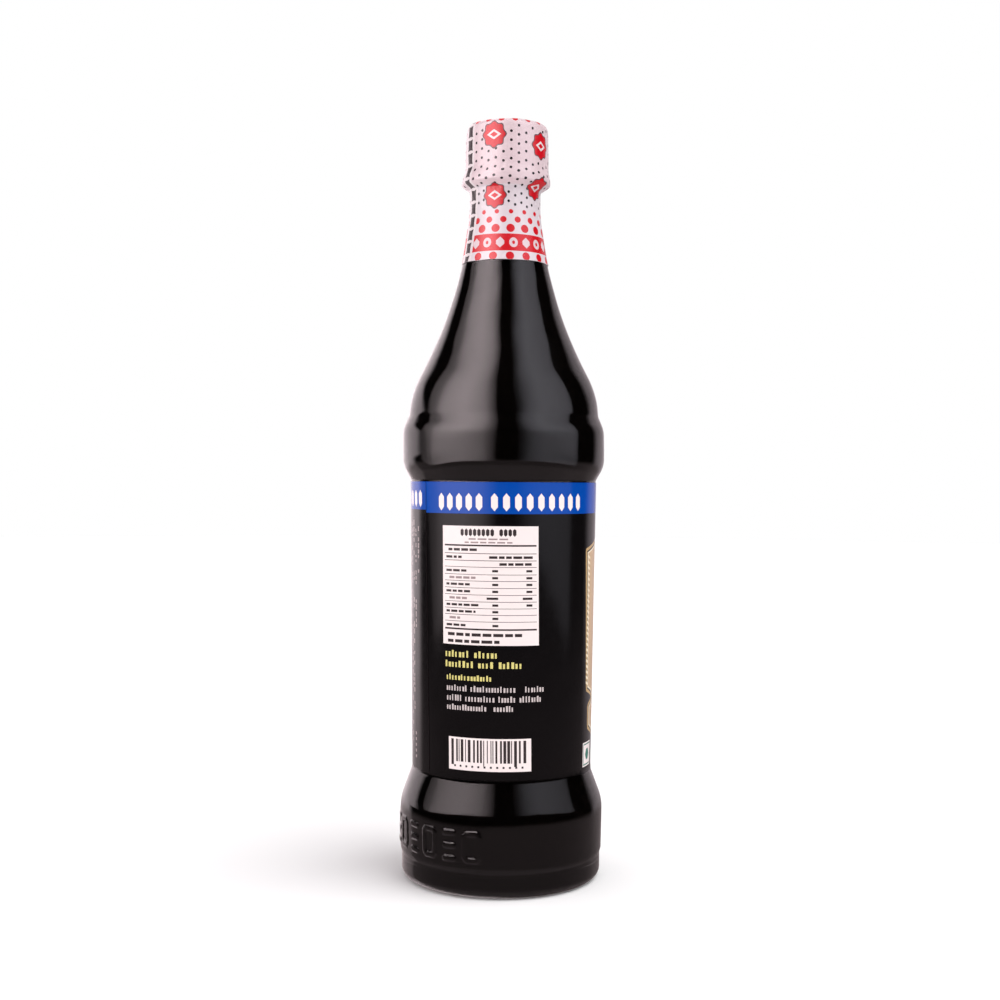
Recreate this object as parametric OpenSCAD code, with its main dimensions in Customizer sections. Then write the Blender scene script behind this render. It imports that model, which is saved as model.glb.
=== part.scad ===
// Sauce bottle: a tall round glass bottle with a stepped foot, a recessed
// label panel, a raised ring over the label and a long neck. A screw cap
// closes it, and a shrunk film capsule covers the cap and the neck.
// Units are millimetres. The origin is the centre of the surface that the
// bottle stands on, and +Z is up.

/* [Foot] */
// Radius of the foot below its parting step
foot_low_r = 38.6; // [38.2:0.1:38.8]
// Radius of the foot at its widest
foot_r = 39.4; // [39.1:0.1:39.6]
// Height of the small parting step round the foot
step_z = 9.3; // [8:0.1:11]
// Height of the sharp corner where the foot turns into its shoulder
foot_z = 29.2; // [28:0.1:31]
// Radius of the heel that rolls into the base
heel_r = 3.5; // [2.5:0.1:4.5]
// Height of the push-up under the base
punt_h = 3.2; // [2:0.1:5]
// Inner radius of the flat ring that the bottle stands on
ring_in = 31.5; // [30:0.1:33]

/* [Label panel] */
// Height where the foot's shoulder meets the panel
panel_z = 41.9; // [41:0.1:42.2]
// Glass radius at the bottom of the panel
panel_r0 = 34.7; // [34.5:0.05:34.9]
// Height of the groove at the top of the panel
panel_top_z = 153.4; // [153:0.1:154]
// Glass radius at the top of the panel
panel_r1 = 36.2; // [36:0.05:36.4]

/* [Raised ring and shoulder] */
// Radius of the raised ring over the label
bulge_r = 39.35; // [39:0.05:39.6]
// Height of the raised ring's lower corner
bulge_z0 = 159.0; // [158:0.1:160]
// Height of the raised ring's upper corner
bulge_z1 = 173.2; // [172:0.1:174]
// Radius where the raised ring ends and the shoulder starts
shoulder_r0 = 36.95; // [36.7:0.05:37.1]
// Height where the raised ring ends and the shoulder starts
shoulder_z0 = 178.2; // [177:0.1:179]
// Radius of the shoulder's corner
shoulder_r1 = 36.13; // [36:0.05:36.3]
// Height of the shoulder's corner
shoulder_z1 = 187.6; // [187:0.1:188]

/* [Neck] */
// Radius of the corner between the shoulder's slope and the neck's slope
neck_r0 = 19.3; // [19:0.05:19.8]
// Height of that corner
neck_z0 = 219.6; // [219:0.1:220]
// Radius of the straight neck under the finish
neck_r1 = 13.45; // [13.2:0.05:13.6]
// Height where the neck becomes straight
neck_z1 = 256.5; // [255:0.1:258]
// Radius of the bore of the neck
bore_r = 9.8; // [9:0.1:10.5]
// Radius of the bead under the cap
bead_r = 16.75; // [16:0.05:17]
// Height of the bottom of the bead
bead_z = 267.6; // [267:0.1:268]
// Height of the bead
bead_h = 4.6; // [4:0.1:4.8]
// Radius of the finish inside the cap
finish_r = 13.2; // [12.8:0.1:13.4]

/* [Wall] */
// Thickness of the glass at the panel
wall = 2.3; // [2.1:0.1:2.7]
// Thickness of the glass at the middle of the base
base_t = 4.6; // [4:0.1:6]

/* [Contents] */
// Height of the surface of the sauce
level_z = 244; // [236:0.5:246]

/* [Cap] */
// Radius of the cap at its lower rim
cap_r0 = 15.95; // [15.8:0.05:16.1]
// Radius of the cap at its top
cap_r1 = 15.6; // [15.4:0.05:15.8]
// Height of the lower rim of the cap
cap_z = 272.9; // [272.5:0.1:273.4]
// Height of the top of the whole bottle
top_z = 292.0; // [291:0.1:294]
// Thickness of the top of the cap
cap_top_t = 1.9; // [1.5:0.1:2.4]
// Rounding of the cap's top edge
cap_edge = 2.6; // [1.5:0.1:3]

/* [Film capsule] */
// Thickness of the film
film_t = 0.3; // [0.2:0.05:0.4]
// Height of the capsule's lower edge
film_z = 237.6; // [236:0.1:240]
// How far the film is turned in over the top of the cap
lip_w = 4.2; // [2:0.1:6]

/* [Label] */
// Height of the label's lower edge
label_z0 = 42.9; // [42:0.1:44]
// Height of the label's upper edge
label_z1 = 152.7; // [151:0.1:152.8]
// Thickness of the label
label_t = 0.25; // [0.2:0.05:0.3]

/* [Hidden] */
$fn = 128;
// Largest turn, in degrees, of one short step round a rounded corner
STEP = 6;

function unit(v) = v / norm(v);
function wrap180(a) = a > 180 ? a - 360 : (a < -180 ? a + 360 : a);

// The points that round the corner b between a and c with radius r
function rounded(a, b, c, r) =
    r <= 0 ? [b] :
    let (u = unit(a - b), w = unit(c - b),
         half = acos(u * w) / 2,
         m = b + unit(u + w) * (r / sin(half)),
         p = b + u * (r / tan(half)) - m,
         q = b + w * (r / tan(half)) - m,
         a0 = atan2(p[1], p[0]),
         turn = wrap180(atan2(q[1], q[0]) - a0),
         n = max(2, ceil(abs(turn) / STEP)))
    [for (i = [0:n]) m + r * [cos(a0 + turn * i / n), sin(a0 + turn * i / n)]];

// An outline from corners given as [radius, height, rounding]
function outline(c) = [
    for (i = [0:len(c) - 1])
        let (b = [c[i][0], c[i][1]])
        each (i == 0 || i == len(c) - 1) ? [b]
            : rounded([c[i-1][0], c[i-1][1]], b, [c[i+1][0], c[i+1][1]], c[i][2])];

// Corners of the outside of the glass, from under the base to the bead
OUTER = [
    [0, punt_h, 0],
    [ring_in - 6.5, punt_h - 0.5, 20],
    [ring_in, 0, 0.8],
    [foot_low_r, 0, heel_r],
    [foot_low_r, step_z, 1],
    [foot_r - 0.25, step_z + 1.7, 2],
    [foot_r, foot_z, 16],
    [panel_r0, panel_z, 7],
    [panel_r1, panel_top_z, 0.8],
    [bulge_r, bulge_z0, 11],
    [bulge_r - 0.05, bulge_z1, 11],
    [shoulder_r0, shoulder_z0, 4],
    [shoulder_r1, shoulder_z1, 36],
    [neck_r0, neck_z0, 165],
    [neck_r1, neck_z1, 60],
    [neck_r1, bead_z, 0.6],
    [bead_r, bead_z + 0.9, 0.9],
    [bead_r, bead_z + bead_h - 1.2, 1.2],
    [finish_r, bead_z + bead_h, 0.5],
    [finish_r, top_z - cap_top_t, 0]];

// Corners of the inside of the glass, from the middle of the base upwards
INNER = [
    [0, punt_h + base_t, 0],
    [ring_in - 5, punt_h + base_t - 1.4, 30],
    [foot_r - wall - 0.5, 6.2, 8],
    [foot_r - wall - 0.4, foot_z - 0.7, 15],
    [panel_r0 - wall, panel_z - 0.6, 9],
    [panel_r1 - wall, panel_top_z + 0.6, 4],
    [bulge_r - wall, bulge_z0 + 0.6, 9],
    [bulge_r - wall, bulge_z1 - 0.6, 9],
    [shoulder_r0 - wall + 0.05, shoulder_z0 - 0.4, 6],
    [shoulder_r1 - wall, shoulder_z1 - 1.1, 34],
    [neck_r0 - wall, neck_z0 - 0.9, 160],
    [bore_r, neck_z1 - 5, 60],
    [bore_r, top_z - cap_top_t, 0]];

outer_pts = outline(OUTER);
inner_pts = outline(INNER);

function at_z(p, z) = [for (i = [0:len(p) - 2])
    if (p[i][1] <= z && p[i+1][1] > z)
        p[i][0] + (p[i+1][0] - p[i][0]) * (z - p[i][1]) / (p[i+1][1] - p[i][1])];
function last(v) = v[len(v) - 1];

// Radius of the glass outside and inside at a height above the base
function glass_r(z) = last(at_z(outer_pts, z));
function bore_at(z) = last(at_z(inner_pts, z));

// Radius of the outside of the label at a height
function panel_r(z) = glass_r(z);

function reversed(v) = [for (i = [len(v) - 1:-1:0]) v[i]];

module glass_shell() {
    rotate_extrude() polygon(concat(outer_pts, reversed(inner_pts)));
}

// Everything inside the glass up to the level of the sauce
module contents() {
    low = [for (p = inner_pts) if (p[1] < level_z && p[0] > 0) p];
    rotate_extrude()
        polygon(concat([[0, punt_h + base_t]], low,
                       [[bore_at(level_z), level_z], [0, level_z]]));
}

// Closure: a top disc and a straight skirt that sits on the bead
CAP_OUT = [
    [cap_r0, cap_z, 0],
    [cap_r1, top_z - film_t, cap_edge],
    [0, top_z - film_t, 0]];

module closure() {
    rotate_extrude()
        polygon(concat(outline(CAP_OUT),
                       [[0, top_z - cap_top_t], [finish_r, top_z - cap_top_t],
                        [finish_r, cap_z]]));
}

// Film capsule: its outside follows the neck, the bead and the cap, and
// its top edge is turned in over the cap
film_low = [for (p = outer_pts) if (p[1] > film_z + 0.2 && p[1] < bead_z - 3) p];
FILM_TOP = [
    [neck_r1, bead_z - 1.2, 1.2],
    [bead_r, bead_z + 0.9, 0.9],
    [bead_r, bead_z + bead_h - 1.2, 1.5],
    [cap_r0, cap_z + 0.9, 0.8],
    [cap_r1, top_z - film_t, cap_edge]];

function film_pts(t, lip) = outline(concat(
    [[glass_r(film_z) + t, film_z, 0]],
    [for (p = film_low) [p[0] + t, p[1], 0]],
    [for (p = FILM_TOP) [p[0] + t, p[1] + (p[1] > cap_z + 5 ? t : 0), p[2]]],
    [[lip, top_z - film_t + t, 0]]));

module film() {
    rotate_extrude()
        polygon(concat(film_pts(film_t, cap_r1 - lip_w),
                       reversed(film_pts(0, cap_r1 - lip_w))));
}

// Label: a thin wrap all round the panel
module wrap_label() {
    rotate_extrude()
        polygon([[panel_r(label_z0), label_z0], [panel_r(label_z1), label_z1],
                 [panel_r(label_z1) + label_t, label_z1],
                 [panel_r(label_z0) + label_t, label_z0]]);
}

module bottle() { color([0.20, 0.15, 0.14, 0.45]) glass_shell(); }
module sauce() { color([0.09, 0.04, 0.03]) contents(); }
module cap() { color([0.78, 0.10, 0.12]) closure(); }
module sleeve() { color([0.92, 0.87, 0.89]) film(); }
module label() { color([0.08, 0.07, 0.08]) wrap_label(); }

bottle();
sauce();
cap();
sleeve();
label();
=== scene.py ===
"""Looks of a tall glass sauce bottle: clear glass over dark sauce, screw cap,
printed film capsule and printed wrap label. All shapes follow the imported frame."""

import math

import bpy
import numpy as np
from mathutils import Matrix, Vector
from mathutils.geometry import delaunay_2d_cdt


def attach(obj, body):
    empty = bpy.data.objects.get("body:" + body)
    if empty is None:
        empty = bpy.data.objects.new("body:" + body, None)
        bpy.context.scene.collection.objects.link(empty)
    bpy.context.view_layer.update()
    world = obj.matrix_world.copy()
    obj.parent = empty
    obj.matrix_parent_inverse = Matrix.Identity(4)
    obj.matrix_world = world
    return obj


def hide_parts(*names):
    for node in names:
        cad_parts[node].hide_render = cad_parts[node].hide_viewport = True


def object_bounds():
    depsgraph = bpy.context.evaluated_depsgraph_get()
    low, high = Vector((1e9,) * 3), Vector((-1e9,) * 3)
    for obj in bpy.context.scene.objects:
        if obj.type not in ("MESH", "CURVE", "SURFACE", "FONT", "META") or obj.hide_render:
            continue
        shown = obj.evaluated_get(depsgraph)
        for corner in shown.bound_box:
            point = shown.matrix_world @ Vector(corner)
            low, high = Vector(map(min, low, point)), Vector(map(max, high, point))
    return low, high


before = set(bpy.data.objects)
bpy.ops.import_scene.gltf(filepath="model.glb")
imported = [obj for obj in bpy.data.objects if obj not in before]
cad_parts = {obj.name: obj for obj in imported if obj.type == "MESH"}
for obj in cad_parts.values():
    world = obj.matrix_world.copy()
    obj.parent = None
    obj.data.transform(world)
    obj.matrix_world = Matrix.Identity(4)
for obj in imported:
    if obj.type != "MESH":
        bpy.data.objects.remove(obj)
cad_box = [list(v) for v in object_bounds()]
# every length below is in millimetres on a bottle 292 mm tall
K = (cad_box[1][2] - cad_box[0][2]) / 0.292
MM = 0.001 * K
rng = np.random.RandomState(20)

# ------------------------------------------------------------------ outline
punt_h, ring_in, foot_low_r, foot_r = 3.2, 31.5, 38.6, 39.4
step_z, foot_z, heel_r = 9.3, 29.2, 3.5
panel_z, panel_r0, panel_top_z, panel_r1 = 41.9, 34.7, 153.4, 36.2
bulge_r, bulge_z0, bulge_z1 = 39.35, 159.0, 173.2
shoulder_r0, shoulder_z0, shoulder_r1, shoulder_z1 = 36.95, 178.2, 36.13, 187.6
neck_r0, neck_z0, neck_r1, neck_z1 = 19.3, 219.6, 13.45, 256.5
bore_r, bead_r, bead_z, bead_h, finish_r = 9.8, 16.75, 267.6, 4.6, 13.2
wall, base_t, level_z = 2.3, 4.6, 244.0
cap_r0, cap_r1, cap_z, top_z, cap_top_t, cap_edge = 15.95, 15.6, 272.9, 292.0, 1.9, 2.6
film_t, film_z, lip_w = 0.3, 237.6, 4.2
label_z0, label_z1 = 42.9, 152.7

OUTER = [
    [0, punt_h, 0], [ring_in - 6.5, punt_h - 0.5, 20], [ring_in, 0, 0.8],
    [foot_low_r, 0, heel_r], [foot_low_r, step_z, 2.5], [foot_r - 0.25, step_z + 1.7, 3],
    [foot_r, foot_z, 16], [panel_r0, panel_z, 2.5], [panel_r1, panel_top_z, 0.8],
    [bulge_r, bulge_z0, 11], [bulge_r - 0.05, bulge_z1, 11], [shoulder_r0, shoulder_z0, 4],
    [shoulder_r1, shoulder_z1, 36], [neck_r0, neck_z0, 165], [neck_r1, neck_z1, 60],
    [neck_r1, bead_z, 0.6], [bead_r, bead_z + 0.9, 0.9], [bead_r, bead_z + bead_h - 1.2, 1.2],
    [finish_r, bead_z + bead_h, 0.5], [finish_r, top_z - cap_top_t, 0]]
INNER = [
    [0, punt_h + base_t, 0], [ring_in - 5, punt_h + base_t - 1.4, 30],
    [foot_r - wall - 0.5, 6.2, 8], [foot_r - wall - 0.4, foot_z - 0.7, 15],
    [panel_r0 - wall, panel_z - 0.6, 9], [panel_r1 - wall, panel_top_z + 0.6, 4],
    [bulge_r - wall, bulge_z0 + 0.6, 9], [bulge_r - wall, bulge_z1 - 0.6, 9],
    [shoulder_r0 - wall + 0.05, shoulder_z0 - 0.4, 6], [shoulder_r1 - wall, shoulder_z1 - 1.1, 34],
    [neck_r0 - wall, neck_z0 - 0.9, 160], [bore_r, neck_z1 - 5, 60],
    [bore_r, top_z - cap_top_t, 0]]
FILM_TOP = [
    [neck_r1, bead_z - 1.2, 1.2], [bead_r, bead_z + 0.9, 0.9],
    [bead_r, bead_z + bead_h - 1.2, 1.5], [cap_r0, cap_z + 0.9, 0.8],
    [cap_r1, top_z - film_t, cap_edge]]


def rounded(table, step=1.5):
    """Outline from corners [r, z, rounding]."""
    pts = [np.array(table[0][:2], float)]
    for i in range(1, len(table) - 1):
        a, b, c = (np.array(table[j][:2], float) for j in (i - 1, i, i + 1))
        rad = table[i][2]
        if rad <= 0:
            pts.append(b)
            continue
        u = (a - b) / np.linalg.norm(a - b)
        w = (c - b) / np.linalg.norm(c - b)
        half = math.acos(max(-1, min(1, float(u @ w)))) / 2
        m = u + w
        centre = b + m / np.linalg.norm(m) * (rad / math.sin(half))
        p, q = b + u * (rad / math.tan(half)) - centre, b + w * (rad / math.tan(half)) - centre
        a0 = math.atan2(p[1], p[0])
        turn = (math.atan2(q[1], q[0]) - a0 + math.pi) % (2 * math.pi) - math.pi
        n = max(2, int(math.ceil(abs(math.degrees(turn)) / step)))
        pts += [centre + rad * np.array([math.cos(a0 + turn * k / n), math.sin(a0 + turn * k / n)])
                for k in range(n + 1)]
    pts.append(np.array(table[-1][:2], float))
    return np.array(pts)


class Line:
    """A smoothed outline, sampled every ds along its length."""

    def __init__(self, pts, sigma=0.35, ds=0.08, flip=False):
        seg = np.hypot(*np.diff(pts, axis=0).T)
        keep = np.r_[True, seg > 1e-6]
        pts = pts[keep]
        s = np.r_[0, np.cumsum(np.hypot(*np.diff(pts, axis=0).T))]
        n = int(round(s[-1] / ds))
        self.s = np.linspace(0, s[-1], n + 1)
        q = np.c_[np.interp(self.s, s, pts[:, 0]), np.interp(self.s, s, pts[:, 1])]
        if sigma > 0:
            m = int(4 * sigma / ds)
            k = np.exp(-0.5 * (np.arange(-m, m + 1) * ds / sigma) ** 2)
            k /= k.sum()
            ext = np.vstack([2 * q[0] - q[m:0:-1], q, 2 * q[-1] - q[-2:-m - 2:-1]])
            q = np.c_[np.convolve(ext[:, 0], k, "valid"), np.convolve(ext[:, 1], k, "valid")]
        self.r, self.z = np.maximum(q[:, 0], 0), q[:, 1]
        tr, tz = np.gradient(self.r, self.s), np.gradient(self.z, self.s)
        length = np.hypot(tr, tz)
        sign = -1 if flip else 1
        self.nr, self.nz = sign * tz / length, -sign * tr / length
        self.length = self.s[-1]

    def at(self, s):
        return tuple(np.interp(s, self.s, a) for a in (self.r, self.z, self.nr, self.nz))

    def s_at(self, z, z_min=-1e9, z_max=1e9):
        """Distance along the line at height z, on its rising part."""
        ok = (self.z >= z_min) & (self.z <= z_max)
        zz = np.maximum.accumulate(self.z[ok])
        return float(np.interp(z, zz, self.s[ok]))

    def rows(self, turn=4.0, reach=4.0, extra=()):
        """Positions close enough together for the line's bends."""
        ang = np.unwrap(np.arctan2(self.nz, self.nr))
        out, last = [0.0], 0
        for i in range(1, len(self.s)):
            if abs(ang[i] - ang[last]) > math.radians(turn) or self.s[i] - self.s[last] > reach:
                out.append(self.s[i])
                last = i
        out = np.array(sorted(out + [self.length] + list(extra)))
        fixed = np.isin(out, np.array(list(extra) + [0.0, self.length]))
        keep = [0]
        for i in range(1, len(out)):
            if out[i] - out[keep[-1]] < 0.1:
                if fixed[i] and not fixed[keep[-1]]:
                    keep[-1] = i
                continue
            keep.append(i)
        if keep[-1] != len(out) - 1:
            keep[-1] = len(out) - 1
        return out[keep]


def smooth(lo, hi, x):
    t = np.clip((np.asarray(x, float) - lo) / (hi - lo), 0, 1)
    return t * t * (3 - 2 * t)


outer = Line(rounded(OUTER), 0.35)
inner = Line(rounded(INNER), 0.5, flip=True)
_up = outer.s > outer.s_at(12)


def glass_r(z):
    """Outside radius of the glass at a height on the wall."""
    ok = (outer.z > 6) & _up | (outer.z > 6)
    return np.interp(z, np.maximum.accumulate(outer.z[ok]), outer.r[ok])


# ------------------------------------------------------------------ mesh tools
def add_mesh(name, verts, faces, normals, mats, face_mats=None, uv=None):
    """verts in mm; normals: one array per loop (same order as faces)."""
    mesh = bpy.data.meshes.new(name)
    mesh.from_pydata((np.asarray(verts, float) * MM).tolist(), [], [list(map(int, f)) for f in faces])
    for m in mats:
        mesh.materials.append(m)
    mesh.polygons.foreach_set("use_smooth", np.ones(len(mesh.polygons), bool))
    if face_mats is not None:
        mesh.polygons.foreach_set("material_index", np.asarray(face_mats, np.int32))
    if uv is not None:
        layer = mesh.uv_layers.new(name="OFBake")
        layer.data.foreach_set("uv", np.asarray(uv, np.float32).ravel())
    mesh.update()
    if normals is not None:
        n = np.asarray(normals, float)
        n /= np.maximum(np.linalg.norm(n, axis=1), 1e-9)[:, None]
        mesh.normals_split_custom_set(n.tolist())
    obj = bpy.data.objects.new(name, mesh)
    bpy.context.scene.collection.objects.link(obj)
    return obj


def xyz(th, r, z):
    """Azimuth in radians, 0 at -Y and growing towards +X."""
    return np.stack([r * np.sin(th), -r * np.cos(th), z + 0 * th], -1)


def wobble(seed, amp, orders, lengths, count=9):
    """A smooth random relief in mm over azimuth and height."""
    g = np.random.RandomState(seed)
    waves = [(g.choice(orders), 2 * math.pi / g.uniform(*lengths) * g.choice([-1, 1]),
              g.uniform(0, 2 * math.pi), g.uniform(0.5, 1)) for _ in range(count)]

    def f(th, z):
        return amp / math.sqrt(count) * sum(a * np.cos(m * th + q * z + p) for m, q, p, a in waves)
    return f


def displaced(line, s, th, push):
    """Points and normals of a turned surface pushed out along its normal by push(th, s, z)."""
    e_s, e_t = 0.06, 0.003
    r, z, nr, nz = line.at(s)

    def point(ss, tt):
        rr, zz, ar, az = line.at(ss)
        d = push(tt, ss, zz)
        return xyz(tt, rr + ar * d, zz + az * d)
    p = point(s, th)
    s0, s1 = np.maximum(s - e_s, 0), np.minimum(s + e_s, line.length)
    ds = point(s1, th) - point(s0, th)
    dt = point(s, th + e_t) - point(s, th - e_t)
    n = np.cross(dt, ds)
    base = xyz(th, nr + 0 * th, nz)
    ln = np.linalg.norm(n, axis=-1, keepdims=True)
    n = np.where(ln > 1e-9, n / np.maximum(ln, 1e-9), base)
    n *= np.where((n * base).sum(-1, keepdims=True) < 0, -1, 1)
    return p, n


def turned(line, rows, push, keys_for, unit):
    """A turned surface whose rows may have different columns. keys_for(s) gives each row's
    column numbers; unit is the angle of one column number in radians."""
    verts, norms, ids, faces = [], [], [], []
    start = 0
    full = int(round(2 * math.pi / unit))
    for s in rows:
        r = line.at(s)[0]
        if r < 1e-4:
            rr, zz, nr, nz = line.at(s)
            verts.append(np.array([[0, 0, zz]]))
            norms.append(np.array([[0, 0, math.copysign(1, nz)]]))
            ids.append(None)
            start += 1
            continue
        keys = keys_for(s)
        th = -math.pi + keys * unit
        p, n = displaced(line, np.full(len(keys), s), th, push)
        verts.append(p)
        norms.append(n)
        ids.append({int(k): start + j for j, k in enumerate(keys)})
        start += len(keys)
    pos = 0
    firsts = []
    for v in verts:
        firsts.append(pos)
        pos += len(v)
    for a in range(len(rows) - 1):
        lo, hi = ids[a], ids[a + 1]
        if lo is None or hi is None:
            ring = hi if lo is None else lo
            pole = firsts[a] if lo is None else firsts[a + 1]
            ks = sorted(ring)
            for i, k in enumerate(ks):
                k2 = ks[(i + 1) % len(ks)]
                f = [pole, ring[k2], ring[k]] if lo is None else [ring[k], ring[k2], pole]
                faces.append(f)
            continue
        both = sorted(set(lo) & set(hi))
        lk, hk = sorted(lo), sorted(hi)
        for i, k in enumerate(both):
            k2 = both[(i + 1) % len(both)]
            end = k2 if k2 > k else full
            lows = [lo[k]] + [lo[x] for x in lk if k < x < end] + [lo[k2]] if len(lk) != len(both) else [lo[k], lo[k2]]
            highs = [hi[k]] + [hi[x] for x in hk if k < x < end] + [hi[k2]] if len(hk) != len(both) else [hi[k], hi[k2]]
            faces.append(lows + highs[::-1])
    return np.vstack(verts), np.vstack(norms), faces


def loops_of(faces, norms):
    return norms[np.concatenate([np.asarray(f) for f in faces])]


def orient(verts, norms, faces):
    """Turns each face so that it looks the way its corners' normals do."""
    out = []
    for f in faces:
        q = verts[f] - verts[f[0]]
        n = np.cross(q, np.roll(q, -1, axis=0)).sum(0)
        out.append(f if n @ norms[f].sum(0) >= 0 else f[::-1])
    return out


# ------------------------------------------------------------------ materials
def material(name, base, rough, rough_span=0.06, scale=300, bump=0.0, bump_scale=900,
             second=None, second_scale=60, **sockets):
    """Principled material: noise moves its roughness and bump, and its colour where second is given."""
    m = bpy.data.materials.new(name)
    m.use_nodes = True
    t = m.node_tree
    b = t.nodes["Principled BSDF"]
    b.inputs["Base Color"].default_value = (*base, 1)
    for k, v in sockets.items():
        b.inputs[k.replace("_", " ")].default_value = v
    co = t.nodes.new("ShaderNodeTexCoord")
    noise = t.nodes.new("ShaderNodeTexNoise")
    noise.inputs["Scale"].default_value = scale / K
    noise.inputs["Detail"].default_value = 3
    t.links.new(co.outputs["Object"], noise.inputs["Vector"])
    mr = t.nodes.new("ShaderNodeMapRange")
    mr.inputs["From Min"].default_value, mr.inputs["From Max"].default_value = 0.3, 0.7
    mr.inputs["To Min"].default_value = max(0.0, rough - rough_span)
    mr.inputs["To Max"].default_value = rough + rough_span
    t.links.new(noise.outputs["Fac"], mr.inputs["Value"])
    t.links.new(mr.outputs["Result"], b.inputs["Roughness"])
    if bump > 0:
        n2 = t.nodes.new("ShaderNodeTexNoise")
        n2.inputs["Scale"].default_value = bump_scale / K
        n2.inputs["Detail"].default_value = 2
        t.links.new(co.outputs["Object"], n2.inputs["Vector"])
        bm = t.nodes.new("ShaderNodeBump")
        bm.inputs["Strength"].default_value = 1.0
        bm.inputs["Distance"].default_value = bump * MM
        t.links.new(n2.outputs["Fac"], bm.inputs["Height"])
        t.links.new(bm.outputs["Normal"], b.inputs["Normal"])
    if second is not None:
        n3 = t.nodes.new("ShaderNodeTexNoise")
        n3.inputs["Scale"].default_value = second_scale / K
        n3.inputs["Detail"].default_value = 4
        t.links.new(co.outputs["Object"], n3.inputs["Vector"])
        ramp = t.nodes.new("ShaderNodeValToRGB")
        ramp.color_ramp.elements[0].position, ramp.color_ramp.elements[1].position = 0.3, 0.7
        ramp.color_ramp.elements[0].color = (*base, 1)
        ramp.color_ramp.elements[1].color = (*second, 1)
        t.links.new(n3.outputs["Fac"], ramp.inputs["Fac"])
        t.links.new(ramp.outputs["Color"], b.inputs["Base Color"])
    return m


# ------------------------------------------------------------------ glass
wave = wobble(5, 0.075, [1, 2, 3, 4, 5, 7], (18, 70), 11)
fine_wave = wobble(9, 0.012, [8, 11, 14, 17, 20], (9, 22), 12)
UNIT = math.radians(0.25)
COARSE = np.arange(0, 1440, 6)
EMB0, EMB1 = int((180 - 174) / 0.25), int((180 - 6) / 0.25)
FINE = np.array(sorted(set(COARSE) | set(range(EMB0, EMB1 + 1))))
EMB_H, EMB_E = 0.38, 0.48


def emboss(th, z):
    """A moulded frieze on the foot: six-sided rings between columns of three short bars."""
    th, z = np.broadcast_arrays(np.degrees(th), z)
    h = np.zeros(th.shape)

    def bump(d):
        np.maximum(h, EMB_H * (1 - smooth(-EMB_E, EMB_E, d)), out=h)
    for i in range(12):
        x = np.abs(np.radians(th + 15.8 + 13.3 * i) * 39.3)
        y = z - 19.1
        if i % 2 == 0:
            # flat-topped ring 7.4 wide and 11.6 tall
            d = np.maximum(np.maximum(np.abs(y) - 5.8, x - 3.7), (x * 0.8 + np.abs(y) * 0.6) - 5.3)
            bump(np.maximum(d, -1.9 - d))
        else:
            for c in (-4.75, 0, 4.75):
                qx, qy = np.maximum(x - 1.75, 0), np.abs(y - c)
                bump(np.hypot(qx, qy) - 1.0)
    return h


def glass_push(th, s, z):
    fade = smooth(4, 9, z) * (1 - smooth(232, 238, z))
    d = (wave(th, z) + fine_wave(th, z)) * fade
    return d + emboss(th, z) * ((z > 12) & (z < 26.5))


e0, e1 = outer.s_at(12.2, 6, 40), outer.s_at(26.0, 6, 40)
fine_rows = np.arange(e0, e1 + 1e-6, (e1 - e0) / 45)
rows_out = outer.rows(4.0, 3.2, fine_rows)
v1, n1, f1 = turned(outer, rows_out, glass_push,
                    lambda s: FINE if e0 - 1e-6 <= s <= e1 + 1e-6 else COARSE, UNIT)
rows_in = inner.rows(7.5, 7.0)
v2, n2, f2 = turned(inner, rows_in, lambda th, s, z: 0 * th, lambda s: COARSE, UNIT)
f1, f2 = orient(v1, n1, f1), orient(v2, n2, f2)
off = len(v1)
rim_o, rim_i = list(range(off - 240, off)), list(range(off + len(v2) - 240, off + len(v2)))
glass_faces = f1 + [[x + off for x in f] for f in f2]
glass_norm = [loops_of(f1, n1), loops_of(f2, n2)]
for i in range(240):
    j = (i + 1) % 240
    glass_faces.append([rim_o[i], rim_o[j], rim_i[j], rim_i[i]])
glass_norm.append(np.tile([0, 0, 1.0], (240 * 4, 1)))
m_glass = material("glass", (1, 1, 1), 0.035, 0.02, 120, 0.0,
                   Transmission_Weight=1.0, IOR=1.5)
glass = add_mesh("glass_bottle", np.vstack([v1, v2]), glass_faces, np.vstack(glass_norm), [m_glass])
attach(glass, "root")
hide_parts("bottle")

# ------------------------------------------------------------------ sauce
s_top = inner.s_at(level_z)
liq = Line(np.c_[inner.r[inner.s <= s_top] - 0.14 * inner.nr[inner.s <= s_top],
                 inner.z[inner.s <= s_top] - 0.14 * inner.nz[inner.s <= s_top]], 0)
r_top = float(liq.r[-1])
top = [(r_top - 0.02, level_z + 0.55)] + [(r_top - 2.4 * (1 - math.cos(a)) - 0.05, level_z + 0.55 - 0.9 * math.sin(a) ** 0.8)
                                          for a in np.linspace(0.12, math.pi / 2, 7)]
top += [(r_top - 2.5 - (r_top - 2.5) * k / 4, level_z - 0.35) for k in range(1, 5)]
liq = Line(np.vstack([np.c_[liq.r, liq.z], np.array(top)]), 0.12)
SC = np.arange(0, 1440, 6)
v, n, f = turned(liq, liq.rows(5.0, 5.0), lambda th, s, z: 0 * th, lambda s: SC, UNIT)
f = orient(v, n, f)
m_sauce = material("sauce", (0.0032, 0.0023, 0.0020), 0.5, 0.1, 60, 0.0,
                   second=(0.0052, 0.0036, 0.0030), second_scale=18, Specular_IOR_Level=0.0)
sauce = add_mesh("soy_sauce", v, f, loops_of(f, n), [m_sauce])
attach(sauce, "root")
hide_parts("sauce")

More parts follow.
